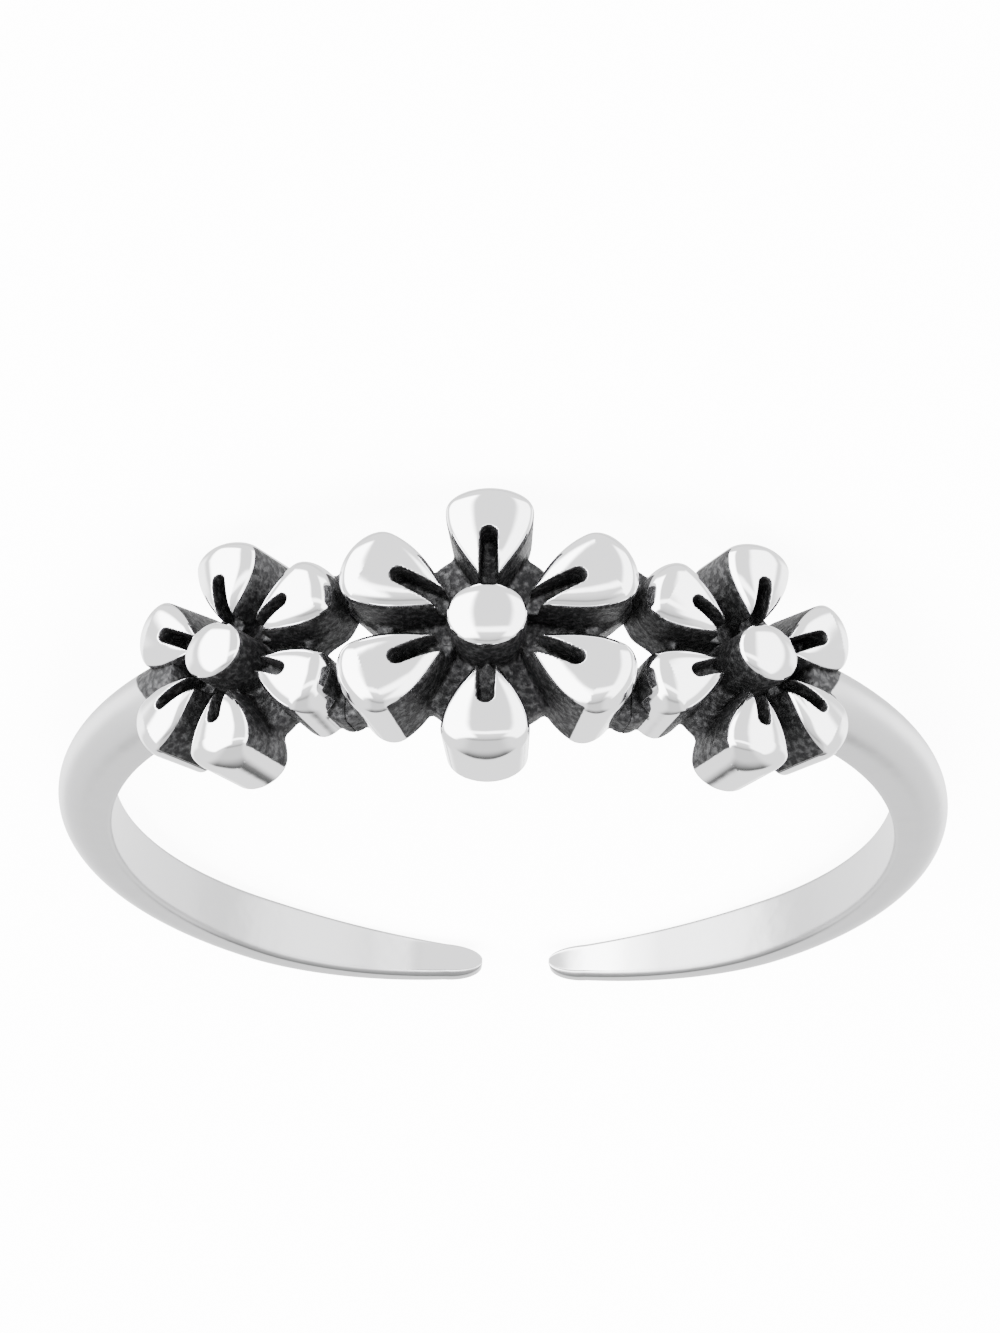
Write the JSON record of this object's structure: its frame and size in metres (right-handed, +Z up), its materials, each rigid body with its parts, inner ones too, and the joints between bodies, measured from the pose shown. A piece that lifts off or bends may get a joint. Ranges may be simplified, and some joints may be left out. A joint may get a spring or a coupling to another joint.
{
  "type": "toe ring",
  "caption": "Open adjustable toe ring with a half-round band, free ends at the back and a row of petalled daisies on the front",
  "frame": {"origin": "on the ground under the middle of the ring's box, the ring lying on its side", "axes": "+Z is up out of the ground, -Y is the side with the flowers, +X is the wearer's side seen at the left of the picture; the ring's own axis leans toward +Y by the rest tilt"},
  "size_m": [0.0176, 0.0178, 0.0057],
  "materials": {
    "oxidised_silver": "polished silver with blackened recesses"
  },
  "bodies": {
    "root": {"toe_ring": "oxidised_silver"}
  },
  "joints": []
}
